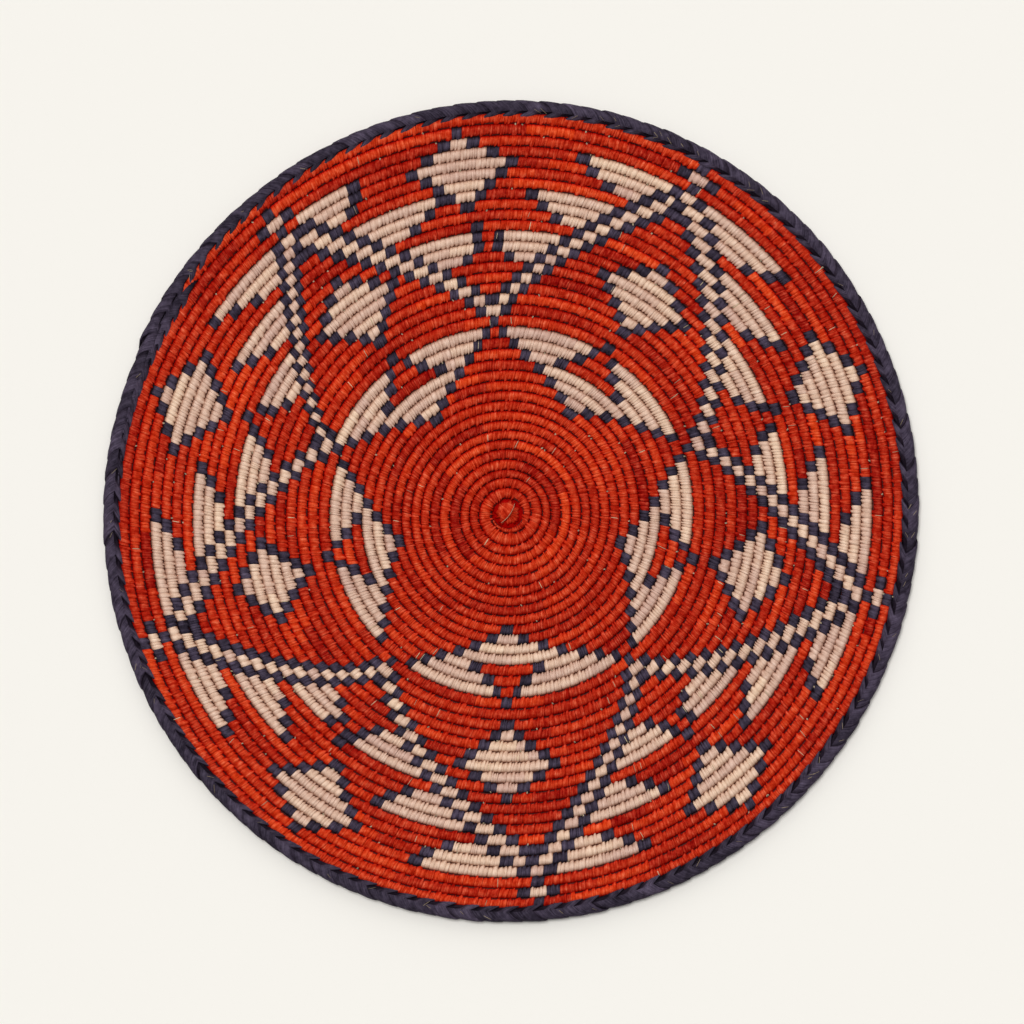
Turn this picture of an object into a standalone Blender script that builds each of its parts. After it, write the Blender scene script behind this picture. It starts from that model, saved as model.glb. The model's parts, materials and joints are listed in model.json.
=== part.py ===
"""A coiled basket that hangs flat on a wall, with a plaited rim.

Metres, +Z up. The front faces -Y and the back lies on Y = 0, against the wall.
The origin is the centre of the coil, on the back.
"""
import math

import bmesh
import bpy
from mathutils import Matrix, Vector

OBJECT_NAME = "wicker_wall_basket"

# Sizes of the basket, its coil, its rim and its knot
BASKET_DIAMETER = 0.400
ROW_COUNT = 37
ROW_THICKNESS = 0.0056
WRAP_THICKNESS = 0.0006
RIM_WIDTH = 0.0073
RIM_THICKNESS = 0.0066
RIM_CHAMFER = 0.0016
KNOT_RADIUS = 0.0066
KNOT_FRONT = 0.0018
KNOT_ROUNDING = 0.0012

# Gap between pieces that touch, overrun of a cutter, and reach of a weld
GAP = 0.0003
OVERRUN = 0.002
WELD = 0.0001

# The rim's circle sits off the coil's centre, as the coil grows towards its end
RIM_SHIFT_RIGHT = 0.0013
RIM_SHIFT_UP = 0.0008

# The coil ends at the upper left, and grows anticlockwise as seen from the front
END_ANGLE = math.radians(146)
TAIL_ANGLE = math.radians(30)
RIM_JOINT_ANGLE = math.radians(155)
MEAN_TURN_SHARE = 0.5
START_SHARE = 0.25
TAIL_TIP_SHARE = 0.2

# Share of a row's width that is flat at its front and back
FLAT_FACE_SHARE = 0.5

# Facets
COARSE_STEPS = 12
FINE_STEPS = 24
FIRST_FINE_ROW = 7
RIM_STEPS = 72
KNOT_STEPS = 24

# Worked out from the sizes above
BASKET_RADIUS = BASKET_DIAMETER / 2
ROW_PITCH = (BASKET_RADIUS - RIM_WIDTH - KNOT_RADIUS) / (ROW_COUNT - MEAN_TURN_SHARE)
ROW_WIDTH = ROW_PITCH - GAP
MID_DEPTH = RIM_THICKNESS / 2

RED_LEAF = (0.62, 0.06, 0.02)
NAVY_LEAF = (0.035, 0.036, 0.07)
GRASS = (0.55, 0.42, 0.24)


def clear_scene():
    for item in list(bpy.data.objects):
        bpy.data.objects.remove(item, do_unlink=True)


def new_collection(name):
    collection = bpy.data.collections.new(name)
    bpy.context.scene.collection.children.link(collection)
    return collection


def leaf_material(name, colour, roughness):
    material = bpy.data.materials.new(name)
    material.use_nodes = True
    shader = material.node_tree.nodes["Principled BSDF"]
    shader.inputs["Base Color"].default_value = (*colour, 1)
    shader.inputs["Roughness"].default_value = roughness
    shader.inputs["Metallic"].default_value = 0
    return material


def add_object(name, mesh, collection, material=None):
    """Stand a piece drawn in the plane of the coil upright, its front towards -Y."""
    item = bpy.data.objects.new(name, mesh)
    item.rotation_euler = (math.radians(90), 0, 0)
    item.location = (0, -MID_DEPTH, 0)
    if material:
        mesh.materials.append(material)
    collection.objects.link(item)
    return item


def as_cutter(item):
    item.hide_render = True
    item.display_type = "WIRE"
    return item


def cut(item, cutter):
    modifier = item.modifiers.new("Cut " + cutter.name, "BOOLEAN")
    modifier.operation = "DIFFERENCE"
    modifier.solver = "EXACT"
    modifier.object = cutter


def groove_radius(turn):
    """Radius of the groove that the coil leaves behind after so many turns."""
    return KNOT_RADIUS + ROW_PITCH * turn


def row_section():
    """Hexagon in (outward, forward), as wide as a row and flat at front and back."""
    half_width = ROW_WIDTH / 2
    half_face = half_width * FLAT_FACE_SHARE
    half_depth = ROW_THICKNESS / 2
    return [(half_width, 0), (half_face, half_depth), (-half_face, half_depth),
            (-half_width, 0), (-half_face, -half_depth), (half_face, -half_depth)]


def inset(corners, distance):
    """Move every side of an anticlockwise outline inward and return its new corners."""
    moved = []
    for i, corner in enumerate(corners):
        here = Vector(corner)
        arriving = (here - Vector(corners[i - 1])).normalized()
        leaving = (Vector(corners[(i + 1) % len(corners)]) - here).normalized()
        normals = Vector((-arriving.y, arriving.x)), Vector((-leaving.y, leaving.x))
        moved.append(here + sum(normals, Vector((0, 0))) * distance / (1 + normals[0].dot(normals[1])))
    return [tuple(corner) for corner in moved]


def bore_section():
    """Three-sided bore on every other corner of the hexagon inside the wrapping."""
    return inset(row_section(), WRAP_THICKNESS)[::2]


def bundle_section():
    return inset(bore_section(), GAP)


def station(angle, radius, scale=1.0):
    """Frame of a section in the half plane at this angle, X outward and Z forward."""
    turned = Matrix.Rotation(angle, 4, "Z") @ Matrix.Translation((radius, 0, 0))
    return turned @ Matrix.Scale(scale, 4)


def extruded_along(name, loops, stations):
    """Fill a section's loops and extrude the faces from station to station."""
    mesh_data = bmesh.new()
    edges = []
    for loop in loops:
        corners = [mesh_data.verts.new((x, 0, z)) for x, z in loop]
        edges += [mesh_data.edges.new((corners[i - 1], corners[i])) for i in range(len(corners))]
    filled = bmesh.ops.triangle_fill(mesh_data, use_beauty=True, edges=edges)
    faces = [part for part in filled["geom"] if isinstance(part, bmesh.types.BMFace)]
    bmesh.ops.transform(mesh_data, matrix=stations[0], verts=mesh_data.verts)
    for i in range(1, len(stations)):
        moved = bmesh.ops.extrude_face_region(mesh_data, geom=faces)["geom"]
        if i > 1:
            bmesh.ops.delete(mesh_data, geom=faces, context="FACES")
        faces = [part for part in moved if isinstance(part, bmesh.types.BMFace)]
        corners = [part for part in moved if isinstance(part, bmesh.types.BMVert)]
        step = stations[i] @ stations[i - 1].inverted()
        bmesh.ops.transform(mesh_data, matrix=step, verts=corners)
    bmesh.ops.recalc_face_normals(mesh_data, faces=mesh_data.faces)
    mesh = bpy.data.meshes.new(name)
    mesh_data.to_mesh(mesh)
    mesh_data.free()
    return mesh


def steps_of(row):
    return FINE_STEPS if row >= FIRST_FINE_ROW else COARSE_STEPS


def row_stations(row, end_gap):
    """Stations of one turn, from the coil's end angle round to the same angle."""
    stations = []
    steps = steps_of(row)
    for i in range(steps + 1):
        share = i / steps
        radius = groove_radius(row - 2 + share + MEAN_TURN_SHARE)
        angle = END_ANGLE + math.tau * share
        if i == 0:
            angle += end_gap / radius
        if i == steps:
            angle -= end_gap / radius
        stations.append(station(angle, radius))
    return stations


def add_rows(collection, material):
    """The coil's rows of wrapped and stitched leaf, one hollow turn each."""
    for row in range(2, ROW_COUNT + 1):
        name = f"wrap_row_{row:02d}"
        loops = [row_section(), bore_section()]
        mesh = extruded_along(name, loops, row_stations(row, GAP / 2))
        add_object(name, mesh, collection, material)


def add_start(collection, material):
    """The first row swells from nothing beside the knot to a full row."""
    stations = []
    for i in range(COARSE_STEPS + 1):
        share = i / COARSE_STEPS
        width = ROW_PITCH * share - GAP
        radius = KNOT_RADIUS + GAP / 2 + width / 2
        angle = END_ANGLE + math.tau * share
        if i == COARSE_STEPS:
            angle -= GAP / 2 / radius
        if share >= START_SHARE:
            stations.append(station(angle, radius, width / ROW_WIDTH))
    mesh = extruded_along("wrap_row_01", [row_section()], stations)
    add_object("wrap_row_01", mesh, collection, material)


def tail_width(share):
    """Width of the tail, as it thins out between the coil's last two edges."""
    left = 1 - (1 - TAIL_TIP_SHARE) * share * math.tau / TAIL_ANGLE
    return ROW_PITCH * left - GAP


def tail_shares():
    steps = round(TAIL_ANGLE / math.tau * FINE_STEPS)
    return [i / FINE_STEPS for i in range(steps + 1)]


def add_tail(collection, material):
    """The coil's wrapped end, which thins out under the rim."""
    stations = []
    for share in tail_shares():
        width = tail_width(share)
        radius = groove_radius(ROW_COUNT - 1 + share) + GAP / 2 + width / 2
        angle = END_ANGLE + math.tau * share
        if share == 0:
            angle += GAP / 2 / radius
        stations.append(station(angle, radius, width / ROW_WIDTH))
    mesh = extruded_along("coil_tail", [row_section()], stations)
    add_object("coil_tail", mesh, collection, material)


def add_foundation(collection, material):
    """The bundle of grass that runs through every full row as one spiral."""
    stations = []
    for row in range(2, ROW_COUNT + 1):
        stations += row_stations(row, 0)[:-1]
    half_gap = GAP / 2
    first_radius = groove_radius(MEAN_TURN_SHARE)
    last_radius = groove_radius(ROW_COUNT - 1 + MEAN_TURN_SHARE)
    stations[0] = station(END_ANGLE + half_gap / first_radius, first_radius)
    stations.append(station(END_ANGLE - half_gap / last_radius, last_radius))
    mesh = extruded_along("foundation_bundle", [bundle_section()], stations)
    add_object("foundation_bundle", mesh, collection, material)
    print_least_gap(stations)


def print_least_gap(stations):
    """Least gap of the bundle to its own next turn, measured on the stations' points."""
    half_width = max(abs(x) for x, depth in bundle_section())
    points = [frame.translation for frame in stations]
    least = BASKET_RADIUS
    for i, point in enumerate(points):
        for other in points[i + COARSE_STEPS // 2:]:
            least = min(least, (point - other).length)
    print(f"Foundation bundle: least gap to itself {(least - 2 * half_width) * 1000:.2f} mm")


def lathed(name, profile, steps, collection, material):
    """Turn a profile of (radius, forward) points about the local Z axis."""
    mesh = bpy.data.meshes.new(name)
    closed = [(i, (i + 1) % len(profile)) for i in range(len(profile))]
    mesh.from_pydata([(radius, 0, depth) for radius, depth in profile], closed, [])
    item = add_object(name, mesh, collection, material)
    screw = item.modifiers.new("Turn", "SCREW")
    screw.axis = "Z"
    screw.angle = math.tau
    screw.steps = steps
    screw.render_steps = steps
    screw.use_merge_vertices = True
    screw.merge_threshold = WELD
    screw.use_normal_calculate = True
    return item


def add_knot(collection, material):
    """The turned-in start of the coil, sunk a little at the front, flat at the back."""
    radius = KNOT_RADIUS - GAP / 2
    profile = [(0, KNOT_FRONT), (radius - KNOT_ROUNDING, KNOT_FRONT), (radius, KNOT_FRONT - KNOT_ROUNDING),
               (radius, -MID_DEPTH), (0, -MID_DEPTH)]
    lathed("centre_knot", profile, KNOT_STEPS, collection, material)


def coil_outline():
    """Corners of the coil's outer edge and its tail, the gap to the rim included."""
    corners = []
    tail = {share: tail_width(share) + GAP for share in tail_shares()}
    for i in range(FINE_STEPS):
        share = i / FINE_STEPS
        radius = groove_radius(ROW_COUNT - 1 + share) + tail.get(share, 0) + GAP / 2
        angle = END_ANGLE + math.tau * share
        corners.append((radius * math.cos(angle), radius * math.sin(angle), 0))
    return corners


def add_coil_cutter(collection):
    curve = bpy.data.curves.new("coil_cutter", "CURVE")
    curve.dimensions = "2D"
    curve.fill_mode = "BOTH"
    curve.extrude = MID_DEPTH + OVERRUN
    spline = curve.splines.new("POLY")
    corners = coil_outline()
    spline.points.add(len(corners) - 1)
    for point, corner in zip(spline.points, corners):
        point.co = (*corner, 1)
    spline.use_cyclic_u = True
    flat = bpy.data.objects.new("coil_outline", curve)
    mesh = bpy.data.meshes.new_from_object(flat)
    bpy.data.objects.remove(flat)
    welded = bmesh.new()
    welded.from_mesh(mesh)
    bmesh.ops.remove_doubles(welded, verts=welded.verts, dist=WELD)
    welded.to_mesh(mesh)
    welded.free()
    return as_cutter(add_object("coil_cutter", mesh, collection))


def add_joint_cutter(collection):
    """A slit where the two ends of the rim's plait meet."""
    slit = bmesh.new()
    bmesh.ops.create_cube(slit, size=1)
    size = Matrix.Diagonal((RIM_WIDTH * 4, GAP, RIM_THICKNESS + 2 * OVERRUN, 1))
    bmesh.ops.transform(slit, matrix=station(RIM_JOINT_ANGLE, BASKET_RADIUS) @ size, verts=slit.verts)
    mesh = bpy.data.meshes.new("rim_joint_cutter")
    slit.to_mesh(mesh)
    slit.free()
    return as_cutter(add_object("rim_joint_cutter", mesh, collection))


def add_rim(collection, cutters, material):
    """The flat plait round the edge, cut to the coil that it is sewn to."""
    inner = BASKET_RADIUS - 2 * RIM_WIDTH
    edge = BASKET_RADIUS - RIM_CHAMFER
    side = MID_DEPTH - RIM_CHAMFER
    profile = [(inner, MID_DEPTH), (edge, MID_DEPTH), (BASKET_RADIUS, side),
               (BASKET_RADIUS, -side), (edge, -MID_DEPTH), (inner, -MID_DEPTH)]
    rim = lathed("rim_plait", profile, RIM_STEPS, collection, material)
    rim.location.x = RIM_SHIFT_RIGHT
    rim.location.z = RIM_SHIFT_UP
    cut(rim, add_coil_cutter(cutters))
    cut(rim, add_joint_cutter(cutters))


def main():
    clear_scene()
    parts = new_collection(OBJECT_NAME)
    cutters = new_collection("cutters")
    add_foundation(parts, leaf_material("dry_grass_bundle", GRASS, 0.9))
    add_start(parts, leaf_material("red_leaf_start", RED_LEAF, 0.6))
    add_rows(parts, leaf_material("red_leaf_rows", RED_LEAF, 0.6))
    add_knot(parts, leaf_material("red_leaf_knot", RED_LEAF, 0.6))
    add_tail(parts, leaf_material("navy_leaf_tail", NAVY_LEAF, 0.6))
    add_rim(parts, cutters, leaf_material("navy_leaf_plait", NAVY_LEAF, 0.6))


if __name__ == "__main__":
    main()
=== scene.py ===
"""Dresses the coiled wall basket: leaf stitches over a grass coil, and a plaited rim.

Metres, +Z up. The front faces -Y, and the origin is the centre of the coil, on its back.
A bearing is in degrees clockwise from the top, as seen from the front.
"""
import json
import math
import random

import bmesh
import bpy
import numpy as np
from bpy.props import FloatProperty, FloatVectorProperty, IntProperty, PointerProperty
from mathutils import Matrix, Vector

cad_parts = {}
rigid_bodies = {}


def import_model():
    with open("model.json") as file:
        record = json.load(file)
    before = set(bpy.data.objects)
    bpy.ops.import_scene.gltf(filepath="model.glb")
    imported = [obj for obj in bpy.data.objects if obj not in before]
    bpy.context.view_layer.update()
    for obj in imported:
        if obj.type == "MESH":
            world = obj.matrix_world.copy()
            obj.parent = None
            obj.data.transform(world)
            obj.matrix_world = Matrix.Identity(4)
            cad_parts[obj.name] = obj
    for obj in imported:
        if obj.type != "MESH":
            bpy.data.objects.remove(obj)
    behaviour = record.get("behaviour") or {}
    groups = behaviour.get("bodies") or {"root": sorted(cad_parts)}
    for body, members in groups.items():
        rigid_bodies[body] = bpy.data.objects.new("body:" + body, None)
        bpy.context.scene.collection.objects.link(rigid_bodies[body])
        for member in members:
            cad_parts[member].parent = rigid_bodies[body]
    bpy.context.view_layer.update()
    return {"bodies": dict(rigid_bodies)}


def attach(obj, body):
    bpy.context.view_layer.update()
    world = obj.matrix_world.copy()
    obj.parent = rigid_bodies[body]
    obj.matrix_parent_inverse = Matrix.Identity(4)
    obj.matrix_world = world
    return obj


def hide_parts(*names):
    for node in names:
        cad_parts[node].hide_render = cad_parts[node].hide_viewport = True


bl_info = {
    "name": "Coiled Wall Basket",
    "version": (1, 0, 0),
    "blender": (4, 5, 0),
    "location": "3D View > Sidebar > Basket",
    "description": "Dresses a coiled wall basket with stitches, a knot and a plaited rim",
    "category": "Object",
}

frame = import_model()
BODY = list(frame["bodies"])[0]

# The coil ends at this bearing and grows anticlockwise from the knot, a row to each turn
END_BEARING = 304
END_ANGLE = math.radians(90 - END_BEARING)
ROW_COUNT = 37
FIRST_TURN = 0.17
TAIL_TURNS = 0.083
# How far the middle and the back of the coil are in front of the rim's back
MID_DEPTH = 0.0033
BACK_DEPTH = 0.0005
# The plait's loose end lies inside the rim between these bearings, over the coil's tail
LAP_FIRST = 278
LAP_LAST = 303.5
# Up to this bearing the plait is drawn tight, with hardly a tooth
LAP_TIGHT = 320

# Dyes of the stitches
RED = 0
CREAM = 1
NAVY = 2

# Bearings of the star's points and of the motifs between them
V_AXES = (69.5, 140.2, 218.6, 290.7, 355.8)
STAR_POINTS = (29.6, 102.8, 175.5, 250.3, 321.1)
OUTER_DIAMONDS = (67.7, 140.2, 214.4, 289.3, 352.3)
LOW_PEAKS = (68.5, 140.7, 216.8, 290.6, 353.7)
# Axis and size of each middle diamond
MID_DIAMONDS = ((32.3, 1.03), (103.3, 1.0), (180.4, 1.05), (254.5, 0.83), (323.4, 0.95))
# Axis of each crown, and how far it reaches to the left and right
CROWNS = ((31.0, -31.4, 32.6), (103.5, -30.6, 31.2), (180.6, -36.9, 31.6),
          (257.0, -30.1, 28.8), (323.2, -30.5, 28.6))
# No motif reaches further than this from its axis, in degrees
MOTIF_REACH = 60

# Half width of the navy points that close a motif, in degrees, by row
STAR_TIP_POINTS = {37: 0.85, 35: 0.9}
OUTER_DIAMOND_POINTS = {36: 0.8, 29: 1.4}
MID_DIAMOND_POINTS = {27: 1.2, 20: 1.8}
LOW_PEAK_POINTS = {27: 1.2}
V_POINTS = {18: 1.2}
CROWN_POINTS = {18: 1.7, 11: 3.2}
# Half width of a motif's cream, in degrees, by row
STAR_TIP_ROWS = {36: 1.3, 34: 1.1}
OUTER_DIAMOND_ROWS = {35: 1.3, 34: 4.3, 33: 7.2, 32: 5.4, 31: 3.5, 30: 1.7}
MID_DIAMOND_ROWS = {26: 2.0, 25: 5.4, 24: 9.0, 23: 7.0, 22: 4.2, 21: 1.6}
V_FOOT_ROWS = {19: 2.0}
# Width of the navy band beside that cream, in degrees
STAR_TIP_BANDS = {36: 2.0, 34: 2.1}
OUTER_DIAMOND_BAND = 2.0
MID_DIAMOND_BAND = 2.7
V_FOOT_BAND = 3.0
# Share of a crown's reach that is cream and its navy band, by row, and the red notch in it
CROWN_ROWS = {17: (1.0, 2.5), 16: (0.88, 3.0), 15: (0.74, 3.5), 14: (0.55, 4.0),
              13: (0.36, 4.5), 12: (0.14, 5.0)}
CROWN_NOTCH = {17: (2.0, 2.5), 16: (4.5, 4.0), 15: (9.5, 4.5)}

# Rows between which the legs of a V run
LEG_LOW = 19
LEG_HIGH = 34
# Half width of a leg's cream and its navy band, by side, where -1 is the left
LEG_CELLS = {-1: (1.6, 2.3), 1: (1.2, 2.3)}
# The one leg with narrow cells, by V and side
NARROW_LEGS = {(3, 1): (0.9, 1.6)}
# How far the left and right leg of each V bow out, in degrees
LEG_BOWS = ((0.6, 1.9), (-0.2, 1.0), (0.6, -0.6), (1.2, 1.7), (1.8, 0.0))
# Top row of each flag, and its widths on the left and right leg by rows below the top
FLAG_TOPS = (34, 30, 26)
FLAG_WIDTHS = {0: (15.3, 13.5), 1: (11.0, 9.5), 2: (5.7, 4.6)}
FLAG_BAND = 2.2
# Where the top rows of the lowest flags stop, off the axis, and where their navy does
LOW_FLAG_STOP = 3.3
LOW_FLAG_TIP = 1.2
# The flags that stop short, by V, side and top row
SHORT_FLAGS = {(4, -1, 34): 0.6, (1, -1, 34): 0.85}


def linear(hex_colour):
    """Linear RGBA of an sRGB hex colour."""
    channels = [int(hex_colour[i:i + 2], 16) / 255 for i in (1, 3, 5)]
    return (*[c / 12.92 if c <= 0.04045 else ((c + 0.055) / 1.055) ** 2.4
              for c in channels], 1)


class CoilSizes(bpy.types.PropertyGroup):
    """Sizes of the coil and its stitches"""
    start: FloatProperty(
        name="Coil start", description="Radius where the first row begins",
        default=0.0070, unit="LENGTH")
    pitch: FloatProperty(
        name="Row pitch", description="Width of a row beside the knot",
        default=0.00502, unit="LENGTH")
    growth: FloatProperty(
        name="Pitch growth", description="What each turn adds to the pitch",
        default=0.0000024, unit="LENGTH")
    thickness: FloatProperty(
        name="Row thickness", description="Thickness of a row from front to back",
        default=0.0056, unit="LENGTH")
    inner_stitch: FloatProperty(
        name="Inner stitch", description="Width of a stitch beside the knot",
        default=0.0034, unit="LENGTH")
    outer_stitch: FloatProperty(
        name="Outer stitch", description="Width of a stitch beside the rim",
        default=0.0046, unit="LENGTH")
    lean: FloatProperty(
        name="Lean", description="Slant of a stitch across its row",
        default=math.radians(8), subtype="ANGLE")
    unevenness: FloatProperty(
        name="Unevenness", description="How far hand work strays from a true coil",
        default=0.00035, unit="LENGTH")
    seed: IntProperty(
        name="Seed", description="Seed of all that varies from stitch to stitch", default=7)


class RimSizes(bpy.types.PropertyGroup):
    """Sizes of the plaited rim"""
    radius: FloatProperty(
        name="Rim radius", description="Radius of the middle of the plait",
        default=0.1962, unit="LENGTH")
    width: FloatProperty(
        name="Rim width", description="Width of the plait, seen from the front",
        default=0.0075, unit="LENGTH")
    thickness: FloatProperty(
        name="Rim thickness", description="Thickness of the plait",
        default=0.0066, unit="LENGTH")
    shift: FloatVectorProperty(
        name="Rim shift", description="Centre of the rim beside that of the coil",
        default=(0.0013, 0.0, 0.0008), unit="LENGTH")
    plaits: IntProperty(
        name="Plaits", description="Number of chevrons round the rim", default=120)


class LeafColours(bpy.types.PropertyGroup):
    """Colours of the leaf"""
    red: FloatVectorProperty(
        name="Red leaf", description="Middle tone of the red leaf", min=0, max=1,
        subtype="COLOR", default=linear("#C3371C")[:3])
    cream: FloatVectorProperty(
        name="Cream leaf", description="Middle tone of the undyed leaf", min=0, max=1,
        subtype="COLOR", default=linear("#E1BEA8")[:3])
    navy: FloatVectorProperty(
        name="Navy leaf", description="Middle tone of the navy leaf", min=0, max=1,
        subtype="COLOR", default=linear("#403847")[:3])


def add_node(tree, kind, inputs=(), **settings):
    """Add a node with its settings. Each input is a node, a socket or a value."""
    node = tree.nodes.new(kind)
    for name, value in settings.items():
        setattr(node, name, value)
    if not isinstance(inputs, dict):
        inputs = dict(enumerate(inputs))
    for key, value in inputs.items():
        if isinstance(value, bpy.types.Node):
            value = value.outputs[0]
        if isinstance(value, bpy.types.NodeSocket):
            tree.links.new(value, node.inputs[key])
        elif value is not None:
            node.inputs[key].default_value = value
    return node


def new_tree(name, sockets):
    """A geometry tree with named inputs."""
    tree = bpy.data.node_groups.new(name, "GeometryNodeTree")
    tree.interface.new_socket("Geometry", in_out="INPUT", socket_type="NodeSocketGeometry")
    for label, kind in sockets:
        tree.interface.new_socket(label, in_out="INPUT", socket_type="NodeSocket" + kind)
    tree.interface.new_socket("Geometry", in_out="OUTPUT", socket_type="NodeSocketGeometry")
    return tree


def read_attributes(tree, names):
    """The float attributes of these names, in a geometry tree."""
    return [add_node(tree, "GeometryNodeInputNamedAttribute", [name], data_type="FLOAT")
            for name in names]


def placed_copies(tree, sizes, label):
    """Copies of an input's object at the points, and the sockets of their own x, y and z."""
    source = add_node(tree, "GeometryNodeObjectInfo", [sizes[label]])
    placed = add_node(tree, "GeometryNodeInstanceOnPoints",
                      {"Points": sizes["Geometry"], "Instance": source.outputs["Geometry"]})
    solid = add_node(tree, "GeometryNodeRealizeInstances", [placed])
    local = add_node(tree, "ShaderNodeSeparateXYZ", [add_node(tree, "GeometryNodeInputPosition")])
    return solid, local.outputs


def turned_place(tree, radius, height, angle):
    """A place at a radius and a height over the back, turned about the basket's axis."""
    depth = add_node(tree, "ShaderNodeMath", [height, -1.0], operation="MULTIPLY")
    flat = add_node(tree, "ShaderNodeCombineXYZ", [radius, depth, 0.0])
    return add_node(tree, "ShaderNodeVectorRotate", {"Vector": flat, "Angle": angle},
                    rotation_type="Y_AXIS")


def strayed_place(tree, place, scale, unevenness):
    """A place moved a little by smooth noise, as hand work strays."""
    noise = add_node(tree, "ShaderNodeTexNoise", {"Vector": place, "Scale": scale, "Detail": 1.0})
    centred = add_node(tree, "ShaderNodeVectorMath", [noise.outputs["Color"], (0.5, 0.5, 0.5)],
                       operation="SUBTRACT")
    strayed = add_node(tree, "ShaderNodeVectorMath", {0: centred, "Scale": unevenness},
                       operation="SCALE")
    return add_node(tree, "ShaderNodeVectorMath", [place, strayed], operation="ADD")


def bridge(shape, a, b):
    """New faces from one ring of vertices to the next, in order round them."""
    count = len(a)
    return [shape.faces.new((a[j], a[(j + 1) % count], b[(j + 1) % count], b[j]))
            for j in range(count)]


def closed_mesh(name, shape):
    """The mesh of a closed shape, with its faces turned outwards."""
    bmesh.ops.recalc_face_normals(shape, faces=shape.faces)
    mesh = bpy.data.meshes.new(name)
    shape.to_mesh(mesh)
    shape.free()
    return mesh


def new_material(name, roughness):
    """A material, its node tree and its shader."""
    material = bpy.data.materials.new(name)
    material.use_nodes = True
    shader = material.node_tree.nodes["Principled BSDF"]
    shader.inputs["Roughness"].default_value = roughness
    return material, material.node_tree, shader


# Noise cells to a unit of the leaf map, across and along a strip
FIBRE_CELLS = (1.1, 0.16, 1.0)
# Blotches of uneven dye are 1 to 3 mm across, and count for less than the fibres
BLOTCH_SCALE = 350.0
FIBRE_SHARE = 0.6
BLOTCH_SHARE = 0.4
# Nearly all of the two together lies between these
MIXED_RANGE = {"From Min": 0.34, "From Max": 0.66}
# A leaf takes its full painted shade below the first of these heights, and none from the second up
PAINTED_SHADE_RANGE = {"From Min": 0.42, "From Max": 1.04}


def leaf_material(name, colour, spread, painted_shade_tone, roughness, contrast, deepening, hue_shift):
    """Dry leaf strip: its tone runs with the strip and its fibres run along it."""
    material, tree, shader = new_material(name, roughness)
    tone, seed, high = [add_node(tree, "ShaderNodeAttribute", attribute_name=label).outputs["Fac"]
                        for label in ("tone", "seed", "high")]
    level = add_node(tree, "ShaderNodeMapRange",
                     {"Value": tone, "To Min": 1 - spread, "To Max": 1 + spread})
    ramp = add_node(tree, "ShaderNodeVectorMath", {0: tuple(colour), "Scale": level},
                    operation="SCALE")
    # Leaf fibres are about 0.3 mm wide, drawn at about 0.45 mm so that they show
    strip = add_node(tree, "ShaderNodeUVMap", uv_map="leaf")
    stretched = add_node(tree, "ShaderNodeVectorMath", [strip, FIBRE_CELLS],
                         operation="MULTIPLY")
    far = add_node(tree, "ShaderNodeMath", [seed, 90.0], operation="MULTIPLY")
    fibre = add_node(tree, "ShaderNodeTexNoise",
                     {"Vector": stretched, "W": far, "Scale": 1.0, "Detail": 3.0,
                      "Roughness": 0.65}, noise_dimensions="4D")
    place = add_node(tree, "ShaderNodeTexCoord").outputs["Object"]
    blotch = add_node(tree, "ShaderNodeTexNoise",
                      {"Vector": place, "Scale": BLOTCH_SCALE, "Detail": 3.0, "Roughness": 0.6})
    mixed = add_node(tree, "ShaderNodeMath", [fibre.outputs["Fac"], FIBRE_SHARE, 0.0],
                     operation="MULTIPLY_ADD")
    mixed = add_node(tree, "ShaderNodeMath", [blotch.outputs["Fac"], BLOTCH_SHARE, mixed],
                     operation="MULTIPLY_ADD")
    shade = add_node(tree, "ShaderNodeMapRange",
                     {"Value": mixed, **MIXED_RANGE, "To Min": 1 - contrast,
                      "To Max": 1 + contrast})
    colour = add_node(tree, "ShaderNodeVectorMath", {0: ramp, "Scale": shade}, operation="SCALE")
    # Where the dye took well it is deeper as well as darker
    depth = add_node(tree, "ShaderNodeMapRange",
                     {"Value": mixed, **MIXED_RANGE, "To Min": 1 + deepening,
                      "To Max": 1 - deepening})
    colour = add_node(tree, "ShaderNodeGamma", [colour, depth])
    # The hue of a strip turns a little with its tone
    hue = add_node(tree, "ShaderNodeMapRange",
                   {"Value": tone, "To Min": 0.5 - hue_shift, "To Max": 0.5 + hue_shift})
    colour = add_node(tree, "ShaderNodeHueSaturation", {"Hue": hue, "Color": colour})
    # Painted shade: the grooves between rows, where the attribute high is low, are painted darker
    # in the shade tone
    painted_light = add_node(tree, "ShaderNodeMapRange", {"Value": high, **PAINTED_SHADE_RANGE},
                     interpolation_type="SMOOTHSTEP")
    painted_shade_colour = add_node(tree, "ShaderNodeVectorMath", [colour, painted_shade_tone], operation="MULTIPLY")
    mix = add_node(tree, "ShaderNodeMix", {0: painted_light, 4: painted_shade_colour, 5: colour}, data_type="VECTOR")
    tree.links.new(mix.outputs[1], shader.inputs["Base Color"])
    bump = add_node(tree, "ShaderNodeBump",
                    {"Strength": 0.8, "Distance": 0.0005, "Height": fibre.outputs["Fac"]})
    tree.links.new(bump.outputs[0], shader.inputs["Normal"])
    shader.inputs["IOR"].default_value = 1.45
    shader.inputs["Specular IOR Level"].default_value = 0.02
    return material


def dyed_red_leaf():
    """Red palm leaf: dull, bright on its ridges, and painted deep red where it turns under, as
    painted shade.
    """
    return leaf_material(
        "dyed_red_palm_leaf", bpy.context.scene.basket_leaf.red, spread=0.33,
        painted_shade_tone=(0.78, 0.04, 0.06), roughness=0.6, contrast=0.25, deepening=0.45,
        hue_shift=0.004)


def undyed_leaf():
    """Undyed palm leaf: pale, warm and a little pink from the red leaf beside it."""
    return leaf_material(
        "undyed_palm_leaf", bpy.context.scene.basket_leaf.cream, spread=0.14,
        painted_shade_tone=(0.55, 0.40, 0.34), roughness=0.6, contrast=0.18, deepening=0.2,
        hue_shift=0.012)


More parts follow.
